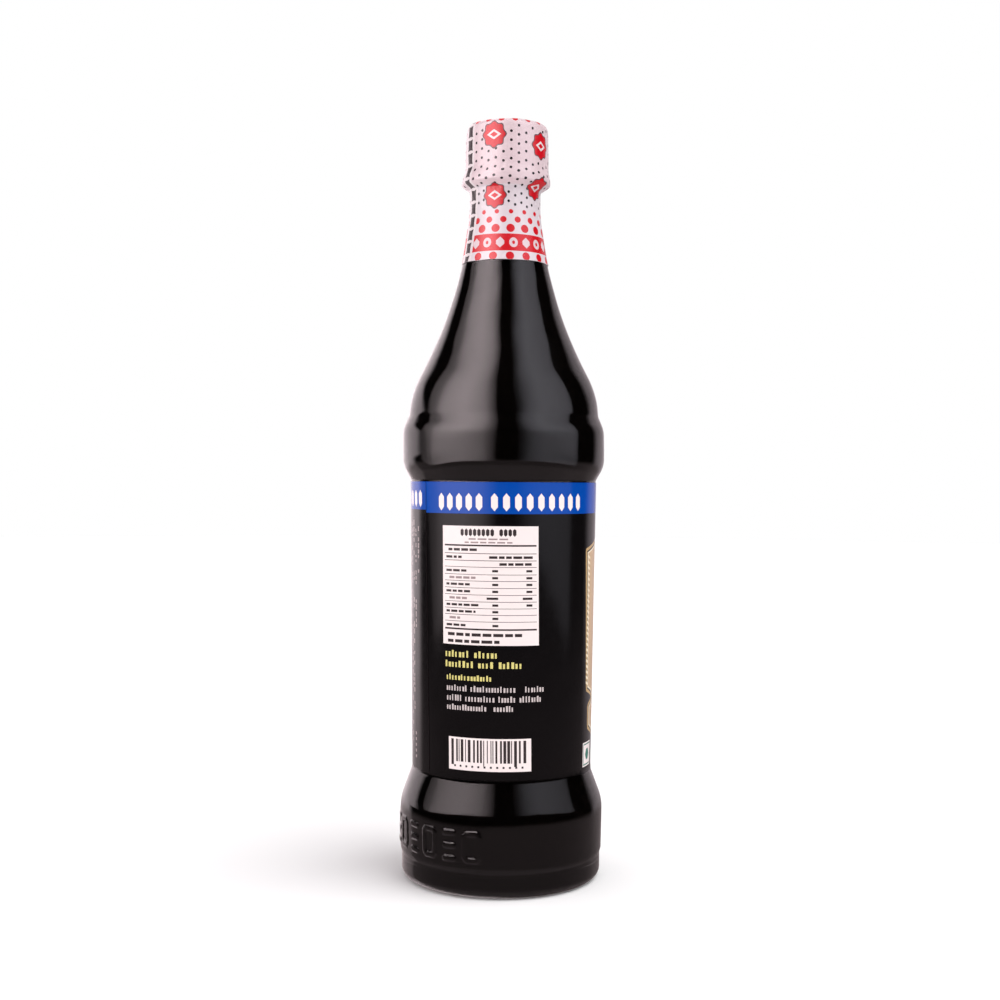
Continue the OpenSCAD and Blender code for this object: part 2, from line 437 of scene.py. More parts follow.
# ------------------------------------------------------------------ cap
ribs = 60
CAP = [[finish_r + 0.1, cap_z, 0], [cap_r0 - 0.5, cap_z, 0.5], [cap_r1 - 0.5, top_z - film_t, cap_edge],
       [11.2, top_z - film_t, 0.4], [10.9, top_z - film_t - 0.45, 0.3], [9.9, top_z - film_t - 0.45, 0.3],
       [9.6, top_z - film_t - 0.1, 0.3], [2.2, top_z - film_t - 0.1, 0.3], [1.9, top_z - film_t - 0.3, 0.2],
       [0, top_z - film_t - 0.3, 0]]
cap_line = Line(rounded(CAP, 6), 0.08)
CK = np.arange(0, 1440, 4)


def cap_push(th, s, z):
    on = smooth(cap_z + 1, cap_z + 2, z) * (1 - smooth(top_z - 5, top_z - 3.5, z))
    return -0.18 * on * (0.5 + 0.5 * np.cos(ribs * th))


v, n, f = turned(cap_line, cap_line.rows(9, 3), cap_push, lambda s: CK, UNIT)
f = orient(v, n, f)
IN = [[0, top_z - cap_top_t, 0], [finish_r + 0.02, top_z - cap_top_t, 0], [finish_r + 0.02, cap_z, 0]]
in_line = Line(np.array([x[:2] for x in IN[:2]]), 0)
ringn = len(CK)
base = len(v)
th = -math.pi + CK * UNIT
extra = np.vstack([xyz(th, np.full(ringn, finish_r + 0.02), np.full(ringn, top_z - cap_top_t)), [[0, 0, top_z - cap_top_t]]])
first = np.arange(ringn)
ef, en = [], []
for i in range(ringn):
    j = (i + 1) % ringn
    ef.append([int(first[j]), int(first[i]), base + i, base + j])
    en += [-xyz(th[j], 1, 0), -xyz(th[i], 1, 0), -xyz(th[i], 1, 0), -xyz(th[j], 1, 0)]
    ef.append([base + j, base + i, base + ringn])
    en += [[0, 0, -1.0]] * 3
CAP_DX = 0.65
cap_v = np.vstack([v, extra])
cap_v[:, 0] += 0.3 * smooth(13.4, 15, np.hypot(cap_v[:, 0], cap_v[:, 1]))
m_cap = material("cap_plastic", (0.50, 0.022, 0.030), 0.34, 0.06, 500, 0.012, 1500,
                 second=(0.44, 0.018, 0.026), second_scale=80)
cap = add_mesh("screw_cap", cap_v, f + ef, np.vstack([loops_of(f, n), np.array(en)]), [m_cap])
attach(cap, "root")
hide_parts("cap")


# ------------------------------------------------------------------ flat print
class Print:
    """Coloured shapes on a flat sheet (mm), cut into triangles along their outlines."""

    def __init__(self, outline, reach):
        self.outline, self.reach, self.shapes = np.asarray(outline, float), reach, []

    def add(self, mat, pts):
        self.shapes.append((mat, np.asarray(pts, float)))

    def box(self, mat, x0, x1, z0, z1, skew=0.0):
        self.add(mat, [(x0, z0), (x1, z0), (x1 + skew, z1), (x0 + skew, z1)])

    def disc(self, mat, x, z, dx, dz=None, n=14, turn=0.0):
        dz = dx if dz is None else dz
        a = np.arange(n) * 2 * math.pi / n + turn
        self.add(mat, np.c_[x + dx / 2 * np.cos(a), z + dz / 2 * np.sin(a)])

    def gem(self, mat, x, z, w, h, cut=0.3):
        """A tall six-sided lozenge."""
        c = h * cut
        self.add(mat, [(x, z - h / 2), (x + w / 2, z - h / 2 + c), (x + w / 2, z + h / 2 - c),
                       (x, z + h / 2), (x - w / 2, z + h / 2 - c), (x - w / 2, z - h / 2 + c)])

    def dense(self, pts):
        out = []
        for a, b in zip(pts, np.roll(pts, -1, axis=0)):
            n = max(1, int(math.ceil(np.linalg.norm((b - a) / self.reach))))
            out += [a + (b - a) * k / n for k in range(n)]
        return np.array(out)

    def cut(self, grid):
        pts, edges = [], []
        count = 0
        for poly in [self.outline] + [p for _, p in self.shapes]:
            d = self.dense(poly)
            pts.append(d)
            edges += [(count + i, count + (i + 1) % len(d)) for i in range(len(d))]
            count += len(d)
        near = np.vstack(pts)
        cell = 0.45
        taken = set(map(tuple, np.floor(near / cell).astype(int)))
        free = [g for g in grid if tuple(np.floor(g / cell).astype(int)) not in taken]
        allp = np.vstack([near, np.array(free)]) if free else near
        v, e, f, *_ = delaunay_2d_cdt([tuple(p) for p in allp], edges, [], 0, 1e-4, False)
        v = np.array([tuple(p) for p in v], float)
        f = np.array([list(t) for t in f if len(t) == 3], int)
        c = v[f].mean(1)
        a, b, d = v[f[:, 0]], v[f[:, 1]], v[f[:, 2]]
        area = 0.5 * np.abs((b[:, 0] - a[:, 0]) * (d[:, 1] - a[:, 1]) - (b[:, 1] - a[:, 1]) * (d[:, 0] - a[:, 0]))
        ok = (area > 1e-7) & inside(self.outline, c)
        f, c = f[ok], c[ok]
        m = np.zeros(len(f), int)
        for k, poly in self.shapes:
            lo, hi = poly.min(0), poly.max(0)
            box = np.where((c[:, 0] > lo[0]) & (c[:, 0] < hi[0]) & (c[:, 1] > lo[1]) & (c[:, 1] < hi[1]))[0]
            if len(box):
                m[box[inside(poly, c[box])]] = k
        used, f = np.unique(f, return_inverse=True)
        return v[used], f.reshape(-1, 3), m


def inside(poly, pts):
    x, y = pts[:, 0], pts[:, 1]
    hit = np.zeros(len(pts), bool)
    for (x0, y0), (x1, y1) in zip(poly, np.roll(poly, -1, axis=0)):
        if y0 == y1:
            continue
        cross = (y0 > y) != (y1 > y)
        hit ^= cross & (x < (x1 - x0) * (y - y0) / (y1 - y0) + x0)
    return hit


def shell(points, normals, tris, thickness, tri_mats, back, edge):
    """Closes a sheet: a copy pushed inwards, and a rim between the two."""
    nv = len(points)
    count = {}
    for t in tris:
        for a, b in ((t[0], t[1]), (t[1], t[2]), (t[2], t[0])):
            count[(a, b)] = count.get((a, b), 0) + 1
    rim = [(a, b) for (a, b) in count if (b, a) not in count]
    inner_p = points - normals * np.reshape(thickness, (-1, 1))
    faces = [list(t) for t in tris] + [[t[2] + nv, t[1] + nv, t[0] + nv] for t in tris]
    loops = [normals[tris].reshape(-1, 3), -normals[tris[:, ::-1]].reshape(-1, 3)]
    mats = list(tri_mats) + [back] * len(tris)
    flat = []
    for a, b in rim:
        faces.append([b, a, a + nv, b + nv])
        n = np.cross(points[a] - points[b], inner_p[a] - points[b])
        n /= max(np.linalg.norm(n), 1e-12)
        flat += [n] * 4
        mats.append(edge)
    return np.vstack([points, inner_p]), faces, np.vstack(loops + [np.array(flat)]), mats


# ------------------------------------------------------------------ label
LX = 36.0 * math.pi / 180  # mm across the sheet for one degree


def on_label(x, z):
    """Sheet place of a point x mm to the right of the front line at height z."""
    r = 34.95 + (z - 42.4) * (36.46 - 34.95) / 110.1
    return (math.degrees(x / r) + 0.02 * (136 - z)) * LX, z


def shade_drop(u):
    """How far the black sheet's lower edge is drawn down round its right side and far side, mm: painted shade, the dark
    sheet laid over the shade below the label's edge.
    """
    return 1.35 * smooth(22, 70, u) * (1 - smooth(150, 285, u))


U0 = -60.5
u_end_top, u_end_bot = 360 - 53.35, 360 - 50.75
# the lower edge takes this drop, so the black sheet covers the shade below the label (painted shade)
bottom = [(u * LX, label_z0 - float(shade_drop(u))) for u in np.linspace(U0, u_end_bot, 60)]
sheet = bottom + [(u_end_top * LX, label_z1)] + [(u * LX, label_z1) for u in np.linspace(u_end_top, U0, 60)[1:]]
BLACK, BLUE, WHITE, INK, YELLOW, GOLD, TAN, CREAM, GREEN, RED, PALE, PAPER, DARK, FINE = range(14)
P = Print(sheet, np.array([1.5, 3.2]))


def lbox(mat, x0, x1, z0, z1):
    a, b, c, d = on_label(x0, z0), on_label(x1, z0), on_label(x1, z1), on_label(x0, z1)
    P.add(mat, [a, b, c, d])


def lgem(mat, x, z, w, h, cut=0.3, du=0.0, f=on_label):
    c = h * cut
    P.add(mat, [tuple(np.array(f(px, pz)) + (du * LX, 0)) for px, pz in
                [(x, z - h / 2), (x + w / 2, z - h / 2 + c), (x + w / 2, z + h / 2 - c),
                 (x, z + h / 2), (x - w / 2, z + h / 2 - c), (x - w / 2, z - h / 2 + c)]])


# blue band, a little higher on the end that laps over
P.add(BLUE, [((U0 - 2) * LX, 141.0), (235 * LX, 141.0), (262 * LX, 141.6), (285 * LX, 142.1), ((u_end_top + 4) * LX, 142.1),
             ((u_end_top + 4) * LX, label_z1 + 2), ((U0 - 2) * LX, label_z1 + 2)])
# two groups of tall lozenges on the band, repeated round the back
def band_marks(du, dz):
    for x in np.linspace(-24.9, -8.9, 5):
        lgem(WHITE, x, 145.3 + dz, 2.5, 6.6, 0.22, du)
    for x in np.linspace(-3.1, 32.4, 9):
        lgem(WHITE, x, 145.3 + dz, 2.5, 6.6, 0.22, du)


band_marks(0, 0)
band_marks(360 - 110.5, 1.0)
# front of the label: a plainer band
for k in range(9):
    lgem(WHITE, 0, 145.3, 2.0, 3.6, 0.5, 127 + (k - 4) * 7.5)

# white panel with rules and rows of short dashes
lbox(WHITE, -24.2, 13.4, 92.6, 136.5)
for x in np.linspace(-15.6, 4.3, 13):
    if abs(x + 3.0) > 0.9:
        lgem(INK, x, 134.1, 1.32, 2.9, 0.22)
for z, a, b in ((131.7, -13, 2.4), (130.45, -14.6, 4.0)):
    x = a
    while x < b - 1:
        w = rng.uniform(1.6, 3.6)
        lbox(PALE, x, min(x + w, b), z - 0.28, z + 0.28)
        x += w + 0.7
for z, t in ((129.33, 0.62), (126.36, 0.24), (123.76, 0.24), (121.37, 0.2), (118.62, 0.2), (116.24, 0.2), (113.67, 0.2),
             (111.14, 0.2), (108.61, 0.2), (106.15, 0.2), (103.76, 0.2), (101.27, 0.2), (98.44, 0.62)):
    lbox(INK, -23.3, 12.6, z - t / 2, z + t / 2)


def dashes(mat, x0, x1, z, h, lo=1.3, hi=3.2, gap=0.55):
    x = x0
    while x < x1 - 0.8:
        w = min(rng.uniform(lo, hi), x1 - x)
        lbox(mat, x, x + w, z - h / 2, z + h / 2)
        x += w + gap


dashes(INK, -21.6, -9.8, 127.75, 0.95)
dashes(INK, -22.6, -15.5, 125.0, 0.9)
dashes(INK, -5.2, 12.0, 125.0, 0.95, 1.6, 3.6)
dashes(INK, -1.4, 11.6, 122.5, 0.95, 1.6, 3.6)
zs = [121.37, 118.62, 116.24, 113.67, 111.14, 108.61, 106.15, 103.76, 101.27, 98.44]
ends = [-12.6, -9.4, -12.0, -11.2, -13.6, -8.3, -10.4, -16.6, -14.4]
for i in range(9):
    z = (zs[i] + zs[i + 1]) / 2
    left = -22.6 if i % 3 != 1 else -21.2
    dashes(INK if i % 3 != 1 else PALE, left, ends[i], z, 0.85)
    lbox(INK, -4.1 if i != 4 else -6.2, -1.9, z - 0.42, z + 0.42)
    if i < 6:
        lbox(INK, 8.6 if i != 4 else 7.2, 10.9, z - 0.42, z + 0.42)
dashes(INK, -22.0, 7.8, 96.4, 1.15, 1.8, 4.2, 0.7)
dashes(INK, -22.0, -1.5, 93.9, 1.15, 1.8, 4.2, 0.7)


def marks(mat, x0, x1, z, h, w=0.62, pitch=1.12, breaks=(), seed=0):
    """A row of thin upright bars with gaps, in place of a line of print."""
    g = np.random.RandomState(seed)
    x = x0
    while x < x1 - w + 0.05:
        if not any(a <= x + w / 2 <= b for a, b in breaks):
            hh = h * g.choice([1.0, 0.76, 0.76])
            lbox(mat, x, x + w * g.choice([0.85, 1.0, 1.25]), z - h / 2, z - h / 2 + hh)
        x += pitch * g.choice([0.95, 1.0, 1.1])


marks(YELLOW, -23.1, -1.4, 89.15, 2.5, 0.8, 1.5, ((-13.2, -11.4),), 1)
marks(YELLOW, -23.1, 8.2, 85.35, 2.4, 0.8, 1.5, ((-11.9, -10.0), (-3.4, -1.6)), 2)
marks(YELLOW, -22.6, -4.3, 80.45, 2.1, 0.66, 1.22, (), 3)
marks(FINE, -22.6, 15.4, 76.5, 2.2, 0.56, 1.1, ((-13.9, -12.3), (4.9, 7.2)), 4)
marks(FINE, -22.5, 14.6, 72.85, 2.2, 0.56, 1.1, ((-16.4, -14.8), (-3.9, -2.4), (4.7, 6.0)), 5)
marks(FINE, -22.5, 3.5, 69.4, 2.1, 0.56, 1.1, ((-5.9, -4.4),), 6)

# plain stripes on a white field
lbox(WHITE, -21.7, 10.2, 46.2, 58.3)
g = np.random.RandomState(77)
x = -20.6
k = 0
while x < 9.0:
    w = g.choice([0.36, 0.36, 0.72, 0.72, 1.08])
    lbox(INK, x, x + w, 49.3 if k % 9 else 48.0, 57.6)
    x += w + g.choice([0.36, 0.5, 0.72, 0.72, 1.0])
    k += 1
# a row of square dots under the stripes
for x in np.arange(-19.4, 8.6, 2.35):
    lbox(INK, x, x + 0.75, 47.35, 48.1)

# small upright marks on the part that laps over
g = np.random.RandomState(41)
for col, (u, lo, hi, share) in enumerate(((297.2, 118, 138.6, 0.5), (292.6, 97, 139, 0.62), (288.6, 62, 139, 0.55),
                                          (284.6, 46, 139, 0.5))):
    z = lo
    while z < hi:
        h = g.uniform(0.9, 2.2)
        if g.rand() < share:
            w = g.uniform(0.8, 1.3)
            P.box(PALE, u * LX - w / 2, u * LX + w / 2, z, min(z + h, hi))
        z += h + g.uniform(0.35, 0.9)
for z in np.arange(47, 56, 2.2):
    P.box(PALE, 290.5 * LX, 292.3 * LX, z, z + 1.1)

# framed field on the far side, mirrored about its middle line
MID = 127.0
half = [(-65.7, 126.3), (-65.2, 127.6), (-42, 131.2), (0, 131.8)]
low = [(-61.6, 74.3), (-61.0, 73.0), (-52, 70.9), (-49.5, 69.8), (-57, 68.0), (-58.2, 66.6),
       (-58.2, 60.0), (-57.2, 58.2), (-44, 54.6), (0, 53.6)]


def frame_poly(inset):
    pts = [(u * LX, z) for u, z in half] + [(-u * LX, z) for u, z in half[:-1][::-1]]
    pts += [(-u * LX, z) for u, z in low] + [(u * LX, z) for u, z in low[:-1][::-1]]
    pts = np.array(pts, float)
    if inset:
        c = np.array([0, 92.5])
        out = []
        n = len(pts)
        for i in range(n):
            a, b, d = pts[i - 1], pts[i], pts[(i + 1) % n]
            e1 = (b - a) / np.linalg.norm(b - a)
            e2 = (d - b) / np.linalg.norm(d - b)
            m1, m2 = np.array([e1[1], -e1[0]]), np.array([e2[1], -e2[0]])
            if m1 @ (c - b) < 0 and False:
                m1 = -m1
            m = m1 + m2
            m /= max(np.linalg.norm(m), 1e-6)
            out.append(b + m * inset / max(0.6, float(m @ m1)))
        pts = np.array(out)
    pts[:, 0] += MID * LX
    return pts


P.add(GOLD, frame_poly(0))
P.add(DARK, frame_poly(1.15))
P.add(CREAM, frame_poly(1.75))
P.add(TAN, frame_poly(2.4))
for z in np.arange(76, 126, 2.1):
    for sgn in (-1, 1):
        u = (MID + sgn * 60.2) * LX
        P.add(CREAM, [(u - 1.1, z), (u + 1.1, z + 1.0 * sgn), (u + 1.1, z + 1.0 + 1.0 * sgn), (u - 1.1, z + 1.0)])
P.add(RED, [((MID + a) * LX, b) for a, b in ((-36, 92.5), (0, 122), (36, 92.5), (0, 63))])
P.add(GOLD, [((MID + a) * LX, b) for a, b in ((-33.5, 92.5), (0, 119.8), (33.5, 92.5), (0, 65.2))])
P.add(CREAM, [((MID + a) * LX, b) for a, b in ((-32, 92.5), (0, 118.4), (32, 92.5), (0, 66.6))])
P.add(BLUE, [((MID + a) * LX, b) for a, b in ((-26, 92.5), (0, 112.9), (26, 92.5), (0, 72.1))])
for k in range(-2, 3):
    P.disc(GOLD, (MID + k * 9) * LX, 92.5, 3.6 if k else 5.2, n=20)
for sx in (-1, 1):
    for sz in (-1, 1):
        for j in range(2):
            P.disc(RED, (MID + sx * (24 + 10 * j)) * LX, 92.5 + sz * (23 + 3.0 * j), 3.0, n=16)
P.box(CREAM, (MID - 30) * LX, (MID + 30) * LX, 47.0, 50.6)
# white tile with a plain green mark
P.box(WHITE, 62.5 * LX, 77.0 * LX, 44.5 - 0.3, 53.7 - 0.3)
P.box(GREEN, 63.3 * LX, 76.2 * LX, 45.0 - 0.3, 53.2 - 0.3)
P.box(WHITE, 64.0 * LX, 75.5 * LX, 45.5 - 0.3, 52.7 - 0.3)
P.disc(GREEN, 69.8 * LX, 48.8, 4.4, 4.8, n=6)
# back of the label between the fields
for j, z in enumerate(np.arange(128, 62, -4.6)):
    P.box(WHITE if j % 5 else YELLOW, 200 * LX, (200 + (30, 42, 38, 44, 35)[j % 5]) * LX, z, z + 1.3)
P.box(GOLD, 198 * LX, 246 * LX, 57.0, 57.8)

grid = []
for i, u in enumerate(np.arange(U0, u_end_bot + 0.1, 2.4)):
    for z in np.arange(41.0, 153.0, 3.0):
        grid.append((u * LX, z + (1.5 if i % 2 else 0)))
grid = np.array(grid)
end_u = np.interp(grid[:, 1], [label_z0, label_z1], [u_end_bot, u_end_top]) * LX
grid = grid[(grid[:, 0] > U0 * LX + 0.5) & (grid[:, 0] < end_u - 0.5) & (grid[:, 1] < label_z1 - 0.4)
            & (grid[:, 1] > label_z0 - shade_drop(grid[:, 0] / LX) + 0.4)]
v2d, tris, tmat = P.cut(grid)
print("label cut", len(v2d), "points", len(tris), "triangles")
lab_wave = wobble(31, 0.035, [2, 3, 5, 8, 11], (12, 60), 10)
LAB_T = 0.11


def label_place(x, z):
    u = x / LX
    lift = 0.13 + 0.14 * smooth(293, 300, u) + 0.06 * smooth(304.5, 308.5, u)
    d = lift + lab_wave(np.radians(u), z) * 0.5 + 0.02
    zz = z
    return xyz(np.radians(u), glass_r(zz) + d, zz)


p = label_place(v2d[:, 0], v2d[:, 1])
e = 0.12
nx = label_place(v2d[:, 0] + e, v2d[:, 1]) - label_place(v2d[:, 0] - e, v2d[:, 1])
nz = label_place(v2d[:, 0], v2d[:, 1] + e) - label_place(v2d[:, 0], v2d[:, 1] - e)
nrm = np.cross(nx, nz)
nrm /= np.linalg.norm(nrm, axis=1)[:, None]
a, b, c = p[tris[:, 0]], p[tris[:, 1]], p[tris[:, 2]]
bad = (np.cross(b - a, c - a) * nrm[tris[:, 0]]).sum(1) < 0
tris[bad] = tris[bad][:, ::-1]
# the rim between the two faces takes the dark ink colour: painted shade along the sheet's cut edges, in place of their
# paler paper colour
sv, sf, sl, sm = shell(p, nrm, tris, LAB_T, tmat, PAPER, INK)

coat = dict(rough_span=0.03, scale=420, bump=0.003, bump_scale=1300, Specular_IOR_Level=0.27)
R_COAT = 0.15
label_mats = [
    material("label_black", (0.0032, 0.0027, 0.0030), R_COAT, **coat),
    material("label_blue", (0.0003, 0.060, 0.37), R_COAT, **coat),
    material("label_white", (0.88, 0.79, 0.775), R_COAT + 0.05, **coat),
    material("label_ink", (0.040, 0.030, 0.031), R_COAT + 0.04, **coat),
    material("label_yellow", (0.70, 0.63, 0.22), R_COAT, **coat),
    material("label_gold", (0.46, 0.30, 0.13), R_COAT, **coat),
    material("label_tan", (0.55, 0.37, 0.22), R_COAT + 0.04, **coat),
    material("label_cream", (0.82, 0.70, 0.50), R_COAT + 0.04, **coat),
    material("label_green", (0.03, 0.17, 0.13), R_COAT, **coat),
    material("label_red", (0.50, 0.02, 0.025), R_COAT, **coat),
    material("label_grey", (0.33, 0.26, 0.26), R_COAT + 0.04, **coat),
    material("label_paper", (0.78, 0.73, 0.71), 0.8, rough_span=0.08, scale=900, bump=0.01, bump_scale=2500),
    material("label_dark", (0.03, 0.022, 0.014), R_COAT, **coat),
    material("label_print", (0.60, 0.53, 0.52), R_COAT + 0.04, **coat),
]
label = add_mesh("wrap_label", sv, sf, sl, label_mats, sm)
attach(label, "root")
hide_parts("label")

# ------------------------------------------------------------------ film capsule
film_low = outer.z[(outer.z > film_z + 0.2) & (outer.z < bead_z - 3)]
low_pts = [[float(glass_r(z)) + film_t, float(z), 0] for z in np.r_[film_z, np.arange(film_z + 0.5, bead_z - 3, 0.8)]]
FILM = low_pts + [[r + film_t, z + (film_t if z > cap_z + 5 else 0), q] for r, z, q in FILM_TOP]
FILM += [[cap_r1 - lip_w, top_z - 0.02, 0]]
film_line = Line(rounded(FILM, 3), 0.16, ds=0.05)
FS = film_line.length
FX = 14.8 * math.pi / 180  # mm across the film for one degree


def fs(z):
    return film_line.s_at(z)


s_bead0, s_bead1, s_cap = fs(bead_z - 0.9), fs(bead_z + bead_h - 0.2), fs(cap_z + 1.2)
F_WHITE, F_COOL, F_BLACK, F_RED, F_STRIP, F_GREY, F_DARK = range(7)
F = Print([(-180 * FX, 0), (180 * FX, 0), (180 * FX, FS), (-180 * FX, FS)], np.array([1.0, 1.0]))
F.box(F_COOL, -181 * FX, 181 * FX, -1, s_bead0 + 0.2)
STRIP = -61.5
s0 = fs(286.6)
rosettes = []
for i in range(5):
    u = (-19.0, 53.0, 118.0, -160.0, -112.0)[i]
    rosettes.append((u, fs((285.4, 282.2, 285.0, 281.6, 284.2)[i]), 1.0))
    rosettes.append((u + (1.5, 2, 0, 0, 0)[i], fs((262.6, 266.6, 262.4, 266.4, 262.8)[i]), 0.96))


def near_rosette(u, s):
    return any(abs(u - a) * 16 * math.pi / 180 < 4.6 * q and abs(s - b) < 5.3 * q for a, b, q in rosettes)


for k in range(34):
    u = (5.2 + 360 / 34 * (k - 6) + 180) % 360 - 180
    if abs(u - STRIP) < 11.5:
        continue
    base_s = s0 - 2 * 3.5 / 34 * (k - 6) - (1.1 if k % 2 else 0)
    for i in range(-3, 14):
        s = base_s - 3.5 * i
        if s < fs(258.2) or s > FS - 6.2 or near_rosette(u, s):
            continue
        F.disc(F_BLACK, u * FX, s, 1.12 * FX / (16.25 * math.pi / 180) if s > s_bead1 else 1.12, 1.12, n=12)


def red_dot(u, z, d, tall=1.0, s=None):
    u = (u + 180) % 360 - 180
    s = fs(z) if s is None else s
    r = float(film_line.at(s)[0])
    F.disc(F_RED, u * FX, s, d * FX / (r * math.pi / 180), d * tall, n=20)


for k in range(16):
    if abs((9.0 + 22.5 * k + 180) % 360 - 180 - STRIP) > 12:
        red_dot(9.0 + 22.5 * k, 256.3, 1.75)
    red_dot(-3 + 22.5 * k, 253.2, 2.5)
    red_dot(8 + 22.5 * k, 249.8, 3.3)
F.box(F_RED, -181 * FX, 181 * FX, fs(240.9), fs(247.6))
for k in range(16):
    red_dot(6.5 + 22.5 * k, 238.95, 3.25)
for k in range(18):
    u = (11 + 20 * k + 180) % 360 - 180
    if abs(u - STRIP) > 10:
        red_dot(u, 0, 2.3, 1.25, fs(291.0) + 0.9)
        red_dot(u + 10, 0, 1.5, 1.0, fs(291.0) + 3.1)
# plain shapes on the red band: lozenges and discs in turn
for k in range(19):
    u = (-44.8 + 18.9 * k + 180) % 360 - 180
    if abs(u - STRIP) < 16:
        continue
    if k % 2 == 0:
        F.gem(F_WHITE, u * FX, fs(244.2), 3.0, 4.3, 0.35)
    else:
        F.disc(F_WHITE, u * FX, fs(244.2), 3.2, 3.9, n=18)
        F.disc(F_RED, u * FX, fs(244.2), 1.1, 1.5, n=10)
# scalloped seals
for u, s, q in rosettes:
    r = float(film_line.at(s)[0])
    kx = FX / (r * math.pi / 180)
    for mat, rad, n in ((F_GREY, 4.65, 8), (F_RED, 4.2, 8)):
        a = np.arange(48) * 2 * math.pi / 48
        rr = rad * q * (1 + 0.085 * np.cos(n * a))
        F.add(mat, np.c_[u * FX + rr * np.cos(a) * kx, s + 1.1 * rr * np.sin(a)])
    F.add(F_STRIP, [(u * FX + a * kx * q, s + b * q) for a, b in ((-2.9, 0), (0, -2.0), (2.9, 0), (0, 2.0))])
    F.add(F_RED, [(u * FX + a * kx * q, s + b * q) for a, b in ((-1.6, 0), (0, -1.05), (1.6, 0), (0, 1.05))])
# tear strip: a pale band with notched dark bars from edge to edge
for a, b in ((0, fs(bead_z - 2)), (fs(bead_z - 2), FS)):
    mid = (a + b) / 2
    r = 14.1 if a == 0 else 16.3
    w = 2.6 / (r * math.pi / 180)
    F.box(F_STRIP, (STRIP - w) * FX, (STRIP + w) * FX, a - 1, b + 1)
s = -1.9
while s < FS:
    r = float(film_line.at(min(max(s + 2, 0), FS))[0])
    kx = FX / (max(r, 13) * math.pi / 180)
    h, w = 4.35, 1.75
    F.add(F_DARK, [(STRIP * FX + x * kx, s + y) for x, y in
                   ((-w, 0), (0, 0.3), (w, 0), (w * 0.86, h * 0.3), (w * 0.86, h * 0.7), (w, h), (0, h - 0.3), (-w, h),
                    (-w * 0.86, h * 0.7), (-w * 0.86, h * 0.3))])
    s += 5.2

# shapes over the sheet's side edge go on at the other edge
turn = 360 * FX
both_sides = []
for mat, pts in F.shapes:
    both_sides.append((mat, pts))
    if np.ptp(pts[:, 0]) < 20:
        if pts[:, 0].max() > turn / 2 + 0.01:
            both_sides.append((mat, pts - (turn, 0)))
        if pts[:, 0].min() < -turn / 2 - 0.01:
            both_sides.append((mat, pts + (turn, 0)))
F.shapes = both_sides

frow = film_line.rows(6.0, 1.5)
grid = []
for i, u in enumerate(np.arange(-180, 180.1, 4.0)):
    for s in frow:
        grid.append((u * FX, s))
# the two side edges carry the same points, so that they close
edge_s = np.array(sorted(set(np.round(frow, 6))))
grid = np.array(grid)
grid = grid[(np.abs(grid[:, 0]) < 179 * FX) & (grid[:, 1] > 0.15) & (grid[:, 1] < FS - 0.15)]
v2d, tris, tmat = F.cut(grid)
print("film cut", len(v2d), "points", len(tris), "triangles")
g = np.random.RandomState(8)
creases = [(g.uniform(-180, 180), g.uniform(3.0, 7.0), g.uniform(-0.2, 0.22)) for _ in range(34)]
film_wave = wobble(14, 0.05, [2, 3, 4, 6, 9], (9, 40), 10)


def ring_gap(th, at):
    return np.abs((np.degrees(th) - at + 180) % 360 - 180)


def film_push(th, s, z):
    """Creases at the bead, pinched ears at the sides, slack over the skirt and a wavy lip."""
    d = film_wave(th, z) * (0.6 + 0.8 * smooth(s_bead0 - 6, s_bead0, s))
    near = np.exp(-((s - (s_bead0 - 1.2)) / 1.9) ** 2) + 0.75 * np.exp(-((s - s_bead1 - 1.2) / 1.6) ** 2)
    fold = 0
    for at, width, amp in creases:
        fold = fold + amp * np.exp(-(ring_gap(th, at + 0.7 * (z - 268)) / width) ** 2)
    d = d + near * fold
    ear = np.exp(-((z - 269.5) / 1.05) ** 2) * (s < s_bead1 + 2)
    d = d + ear * (0.42 * np.exp(-(ring_gap(th, 92) / 20) ** 2) + 0.28 * np.exp(-(ring_gap(th, -92) / 11) ** 2))
    d = d + 0.10 * np.exp(-(ring_gap(th, STRIP) / 9.0) ** 8)
    d = d + (0.32 * np.exp(-(ring_gap(th, -92) / 36) ** 2) * smooth(239, 244, z) * (1 - smooth(285, 291, z))
             * (1 - 0.85 * np.exp(-((z - 269.5) / 3.0) ** 2)))
    d = d + 0.10 * np.exp(-((s - 0.3) / 0.8) ** 2) * np.cos(7 * th + 1.2)
    # shallow dents where the film spans from the bead to the skirt
    d = d - 0.16 * np.exp(-((s - s_cap - 1.6) / 1.7) ** 2) * (0.6 + 0.4 * np.cos(5 * th + 0.4))
    return d


def film_place(x, s):
    s = np.clip(s, 0, FS)
    th = x / FX * math.pi / 180
    r, z, nr, nz = film_line.at(s)
    lip = smooth(FS - 3.0, FS, s)
    d = film_push(th, s, z)
    r2 = r + lip * (0.35 * np.sin(3 * th + 0.6) + 0.22 * np.sin(8 * th))
    p = xyz(th, r2 + nr * d, z + nz * np.maximum(d, -0.12) * (1 - 0.9 * lip))
    p[..., 0] += CAP_DX * smooth(266.5, 275, z)
    return p


p = film_place(v2d[:, 0], v2d[:, 1])
e = 0.08
up = np.minimum(v2d[:, 1] + e, FS)
dn = np.maximum(v2d[:, 1] - e, 0)
nx = film_place(v2d[:, 0] + e, v2d[:, 1]) - film_place(v2d[:, 0] - e, v2d[:, 1])
nz = film_place(v2d[:, 0], up) - film_place(v2d[:, 0], dn)
nrm = np.cross(nx, nz)
nrm /= np.linalg.norm(nrm, axis=1)[:, None]
